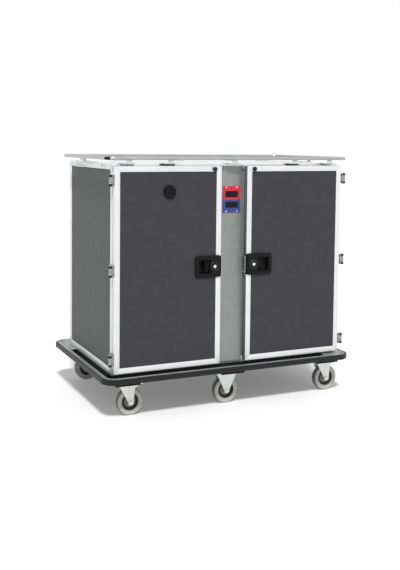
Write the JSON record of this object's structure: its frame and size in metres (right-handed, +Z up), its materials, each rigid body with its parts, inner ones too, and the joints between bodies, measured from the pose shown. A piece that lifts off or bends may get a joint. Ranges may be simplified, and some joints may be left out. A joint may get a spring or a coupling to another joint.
{
  "type": "enclosed meal tray cart",
  "caption": "Enclosed two-bay meal tray cart with hinged doors, a control column between them, a gallery rail on top, a bumper ring and casters.",
  "frame": {"origin": "middle of the part on the ground, under the middle of its overall box", "axes": "+X to the right along the two doors, +Y to the back, +Z up; the doors face -Y"},
  "size_m": [1.536, 1.02, 1.406],
  "materials": {
    "frame_aluminium": "anodised extrusion, pale satin",
    "wall_laminate": "fine-grained laminate on foam core",
    "liner_laminate": "smooth pale liner sheet on foam core",
    "door_laminate": "fine-grained dark slate laminate",
    "cover_steel": "brushed stainless sheet",
    "display_plastic": "printed film, red over blue",
    "display_glass": "dark display window",
    "rack_steel": "folded stainless sheet",
    "cold_plate_plastic": "filled moulded plastic",
    "case_plastic": "moulded black plastic",
    "deck_aluminium": "mill-finish extrusion",
    "bumper_rubber": "black extruded rubber",
    "zinc_steel": "bright zinc-plated pressed steel",
    "painted_steel": "black powder coat on folded sheet and tube",
    "hinge_steel": "satin stainless",
    "latch_plastic": "black glass-filled nylon, fine grain",
    "lock_chrome": "polished",
    "gasket_rubber": "black rubber",
    "catch_plastic": "pale moulded nylon with dark ends",
    "rail_aluminium": "satin anodised tube",
    "bracket_plastic": "grey moulded nylon",
    "rim_plastic": "grey moulded nylon, black rim",
    "tyre_rubber": "pale grey non-marking rubber"
  },
  "bodies": {
    "cabinet": {"frame_profiles": "frame_aluminium", "side_panel_left": "wall_laminate", "side_panel_right": "wall_laminate", "back_panel": "wall_laminate", "top_panel": "wall_laminate", "floor_panel": "liner_laminate", "bay_partitions": "liner_laminate", "column_cover": "cover_steel", "display_plate": "display_plastic", "display_windows": "display_glass", "tray_runners": "rack_steel", "rack_uprights": "rack_steel", "heating_element": "rack_steel", "eutectic_plate": "cold_plate_plastic", "control_box": "case_plastic", "power_inlet": "case_plastic", "deck_ring": "deck_aluminium", "rubber_bumper": "bumper_rubber", "base_frame": "painted_steel", "swivel_top_plates": "zinc_steel", "fixed_caster_forks": "zinc_steel", "caster_bolts": "zinc_steel", "cabinet_hinge_leaves": "hinge_steel", "latch_keepers": "rack_steel", "door_catches": "catch_plastic", "gallery_rail": "rail_aluminium", "rail_brackets": "bracket_plastic"},
    "door_left": {"door_frame_left": "frame_aluminium", "door_panel_left": "door_laminate", "door_gasket_left": "gasket_rubber", "latch_housing_left": "latch_plastic", "door_hinge_leaves_left": "hinge_steel", "door_stud_left": "gasket_rubber"},
    "latch_left": {"latch_lever_left": "latch_plastic"},
    "lock_left": {"lock_cylinder_left": "lock_chrome"},
    "door_right": {"door_frame_right": "frame_aluminium", "door_panel_right": "door_laminate", "door_gasket_right": "gasket_rubber", "latch_housing_right": "latch_plastic", "door_hinge_leaves_right": "hinge_steel", "door_stud_right": "gasket_rubber"},
    "latch_right": {"latch_lever_right": "latch_plastic"},
    "lock_right": {"lock_cylinder_right": "lock_chrome"},
    "vent_knob": {"vent_knob": "latch_plastic"},
    "wheel_front_left": {"wheel_rim_front_left": "rim_plastic", "tyre_front_left": "tyre_rubber"},
    "swivel_front_left": {"swivel_fork_front_left": "zinc_steel"},
    "wheel_front_middle": {"wheel_rim_front_middle": "rim_plastic", "tyre_front_middle": "tyre_rubber"},
    "wheel_front_right": {"wheel_rim_front_right": "rim_plastic", "tyre_front_right": "tyre_rubber"},
    "swivel_front_right": {"swivel_fork_front_right": "zinc_steel"},
    "wheel_rear_left": {"wheel_rim_rear_left": "rim_plastic", "tyre_rear_left": "tyre_rubber"},
    "swivel_rear_left": {"swivel_fork_rear_left": "zinc_steel"},
    "wheel_rear_middle": {"wheel_rim_rear_middle": "rim_plastic", "tyre_rear_middle": "tyre_rubber"},
    "wheel_rear_right": {"wheel_rim_rear_right": "rim_plastic", "tyre_rear_right": "tyre_rubber"},
    "swivel_rear_right": {"swivel_fork_rear_right": "zinc_steel"}
  },
  "joints": [
    {"name": "door_left_hinge", "type": "hinge", "parent": "cabinet", "child": "door_left", "pos_m": [-0.722, -0.452, 0.803], "axis": [0, 0, -1], "range_deg": [0, 270]},
    {"name": "latch_left_pull", "type": "hinge", "parent": "door_left", "child": "latch_left", "pos_m": [-0.142, -0.449, 0.803], "axis": [0, 0, 1], "range_deg": [0, 15], "stiffness_Nm_per_rad": 0.6, "springref_deg": -5.73},
    {"name": "lock_left_turn", "type": "hinge", "parent": "door_left", "child": "lock_left", "pos_m": [-0.122, -0.464, 0.803], "axis": [0, -1, 0], "range_deg": [0, 90]},
    {"name": "door_right_hinge", "type": "hinge", "parent": "cabinet", "child": "door_right", "pos_m": [0.722, -0.452, 0.803], "axis": [0, 0, 1], "range_deg": [0, 270]},
    {"name": "latch_right_pull", "type": "hinge", "parent": "door_right", "child": "latch_right", "pos_m": [0.142, -0.449, 0.803], "axis": [0, 0, -1], "range_deg": [0, 15], "stiffness_Nm_per_rad": 0.6, "springref_deg": -5.73},
    {"name": "lock_right_turn", "type": "hinge", "parent": "door_right", "child": "lock_right", "pos_m": [0.122, -0.464, 0.803], "axis": [0, -1, 0], "range_deg": [0, 90]},
    {"name": "vent_knob_turn", "type": "hinge", "parent": "door_left", "child": "vent_knob", "pos_m": [-0.39, -0.452, 1.217], "axis": [0, -1, 0], "range_deg": [0, 90]},
    {"name": "swivel_front_left_turn", "type": "hinge", "parent": "cabinet", "child": "swivel_front_left", "pos_m": [-0.626, -0.361, 0.174], "axis": [0, 0, 1], "continuous": true},
    {"name": "wheel_front_left_spin", "type": "hinge", "parent": "swivel_front_left", "child": "wheel_front_left", "pos_m": [-0.581, -0.361, 0.075], "axis": [0, 1, 0], "continuous": true},
    {"name": "wheel_front_middle_spin", "type": "hinge", "parent": "cabinet", "child": "wheel_front_middle", "pos_m": [0, -0.361, 0.075], "axis": [0, 1, 0], "continuous": true},
    {"name": "swivel_front_right_turn", "type": "hinge", "parent": "cabinet", "child": "swivel_front_right", "pos_m": [0.626, -0.361, 0.174], "axis": [0, 0, 1], "continuous": true},
    {"name": "wheel_front_right_spin", "type": "hinge", "parent": "swivel_front_right", "child": "wheel_front_right", "pos_m": [0.671, -0.361, 0.075], "axis": [0, 1, 0], "continuous": true},
    {"name": "swivel_rear_left_turn", "type": "hinge", "parent": "cabinet", "child": "swivel_rear_left", "pos_m": [-0.626, 0.409, 0.174], "axis": [0, 0, 1], "continuous": true},
    {"name": "wheel_rear_left_spin", "type": "hinge", "parent": "swivel_rear_left", "child": "wheel_rear_left", "pos_m": [-0.581, 0.409, 0.075], "axis": [0, 1, 0], "continuous": true},
    {"name": "wheel_rear_middle_spin", "type": "hinge", "parent": "cabinet", "child": "wheel_rear_middle", "pos_m": [0, 0.409, 0.075], "axis": [0, 1, 0], "continuous": true},
    {"name": "swivel_rear_right_turn", "type": "hinge", "parent": "cabinet", "child": "swivel_rear_right", "pos_m": [0.626, 0.409, 0.174], "axis": [0, 0, 1], "continuous": true},
    {"name": "wheel_rear_right_spin", "type": "hinge", "parent": "swivel_rear_right", "child": "wheel_rear_right", "pos_m": [0.671, 0.409, 0.075], "axis": [0, 1, 0], "continuous": true}
  ]
}
